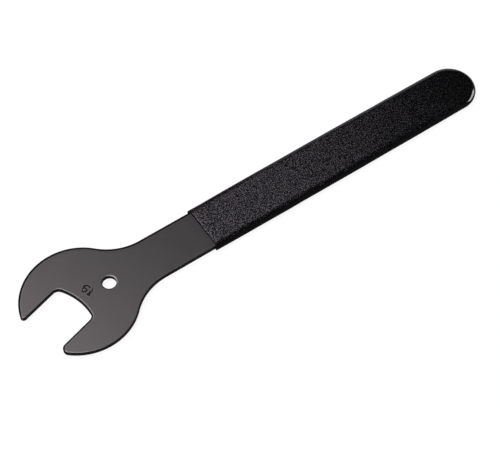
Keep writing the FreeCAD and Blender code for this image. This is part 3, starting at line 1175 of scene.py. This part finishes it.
    def build(self, finishes: list[Material]) -> Object:
        """Builds the grip.

        Args:
            finishes: the material of its skin and that of its flanks.

        Returns:
            The piece that stands for the CAD grip.
        """
        blade = self.blade
        half_shank = blade.shank_width / 2
        skin = Sleeve(
            self.seam_x + self.lip_radius, self.end_x, self.seam_half_width(),
            half_shank + self.coat_at_round, self.half_thickness, self.round_reach, self.round_drop,
            self.bow_radius, self.skin_step, self.round_facets)
        hollow = Sleeve(
            self.seam_x, blade.tang_reach, half_shank, half_shank, blade.thickness / 2, blade.edge_break,
            blade.edge_break, math.inf, self.hollow_step, self.hollow_facets)
        draft = MeshDraft()
        row = self.add_sleeve(draft, skin, outward=True)
        mouth = self.add_sleeve(draft, hollow, outward=False)
        start = np.vstack(draft.points)[row]
        inward = inward_normals(start[:, 1:])
        for inset, drop, tilt in rounded_edge(self.lip_radius, self.lip_radius, self.lip_facets)[1:]:
            ring = start - np.column_stack([np.full(len(start), self.lip_radius - inset), -drop * inward])
            following = draft.add_points(ring)
            # Past a low tilt the lip turns matt black: painted shade along the seam.
            zone = Zone.FACE if tilt < math.radians(self.lip_shade_from) else Zone.EDGE
            draft.add_faces(bands(row, following), zone)
            row = following
        # The lip's end face is matt black: painted shade at the seam.
        draft.fill([row, mouth], (1, 2), Zone.EDGE, flip=True)
        piece = draft.make_object("grip_skin", finishes, SMOOTHNESS_AND_SHADE_NAME)
        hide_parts("dipped_grip")
        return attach(piece, BODY)


@dataclass
class Softbox:
    """A white studio lamp with a flat diffuser, at a place and turned to the wrench."""

    name: str
    place: Place
    aim: Place
    width: float
    height: float
    radiance: float

    def build(self) -> Object:
        """Hangs the lamp and gives it."""
        lamp = bpy.data.lights.new(self.name, "AREA")
        lamp.shape = "RECTANGLE"
        lamp.size, lamp.size_y = self.width * MM, self.height * MM
        lamp.energy = self.radiance * math.pi * lamp.size * lamp.size_y
        return put_up(self.name, lamp, self.place, self.aim)


@dataclass
class Studio:
    """A white paper floor, a dim room, one large lamp overhead and two that draw the grip's reflections."""

    floor_z: float
    floor_half: float = 4000.0
    room_grey: str = "#212026"
    wrench_middle: Place = (60.0, 0.0, 0.0)
    grip_end: Place = (170.0, 0.0, 0.0)

    def lay_floor(self, paper: Material) -> None:
        """Lays the floor that the wrench rests on, and marks it as stage.

        Args:
            paper: its material.
        """
        reach = self.floor_half * MM
        height = self.floor_z * MM
        corners = [(x * reach, y * reach, height) for x, y in ((-1, -1), (1, -1), (1, 1), (-1, 1))]
        mesh = bpy.data.meshes.new("studio_floor")
        mesh.from_pydata(corners, [], [(0, 1, 2, 3)])
        mesh.materials.append(paper)
        floor = put_up("studio_floor", mesh)
        floor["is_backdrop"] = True

    def light_room(self) -> None:
        """Gives the room its dim, even light, so that the lamps draw the reflections."""
        world = bpy.data.worlds.new("studio_room")
        world.use_nodes = True
        tree = world.node_tree
        tree.nodes.clear()
        background = add_node(tree, "Background", {"Color": linear(self.room_grey)})
        add_node(tree, "OutputWorld", {"Surface": background})
        bpy.context.scene.world = world

    def hang_lamps(self) -> list[Object]:
        """Hangs the lamps and gives them."""
        lamps = [
            Softbox("overhead_softbox", (-345.0, 262.0, 880.0), self.wrench_middle, 800.0, 800.0, 7.4),
            Softbox("far_panel", (950.0, 1231.0, 450.0), self.grip_end, 800.0, 850.0, 0.55),
            Softbox("right_window", (1165.0, -400.0, 490.0), self.grip_end, 840.0, 560.0, 7.5),
        ]
        return [lamp.build() for lamp in lamps]


@dataclass
class StudioCamera:
    """The camera at the photograph's place: up and to the near left, looking down along the handle."""

    place: Place = (-125.167, -278.342, 509.458)
    aim: Place = (58.532, -9.504, 0.0)
    lens: float = 111.444
    sensor: float = 36.0
    nearest_m: float = 0.01
    furthest_m: float = 50.0

    def build(self) -> None:
        """Makes the camera and hands it to the scene."""
        data = bpy.data.cameras.new("studio_camera")
        data.lens, data.sensor_width = self.lens, self.sensor
        data.clip_start, data.clip_end = self.nearest_m, self.furthest_m
        bpy.context.scene.camera = put_up("studio_camera", data, self.place, self.aim)


def report(piece: Object) -> None:
    """Tells the log what was made and how finely it is divided."""
    triangles = sum(len(face.vertices) - 2 for face in piece.data.polygons)
    LOG.info("%s: %d corners, %d triangles", piece.name, len(piece.data.vertices), triangles)


def main() -> None:
    """Builds the studio and the wrench, in order."""
    logging.basicConfig(level=logging.INFO, format="%(message)s")
    bpy.context.scene.view_settings.view_transform = "Standard"
    StudioCamera().build()

    blade_low, blade_high = (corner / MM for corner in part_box("steel_blade"))
    grip_low, grip_high = (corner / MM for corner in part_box("dipped_grip"))
    hang_hole = next(mount for mount in frame["record"]["mounts"] if mount["name"] == "hang_hole")

    blade = Blade(
        thickness=blade_high.z - blade_low.z, hole_radius=hang_hole["dims"]["r_mm"], tang_reach=blade_high.x)
    report(blade.build([BlackOxideSteel().make(), BlankedEdgeAndShade().make()]))
    grip = DippedGrip(seam_x=grip_low.x, end_x=grip_high.x, half_thickness=grip_high.z, blade=blade)
    report(grip.build([PlastisolDip().make(), DrawnPlastisolAndShade().make()]))

    studio = Studio(floor_z=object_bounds()[0][2] / MM)
    studio.lay_floor(StudioPaper().make())
    studio.light_room()
    lamps = studio.hang_lamps()
    LOG.info("studio: floor at %.3f mm, room and %d lamps", studio.floor_z, len(lamps))


if __name__ == "__main__":
    main()
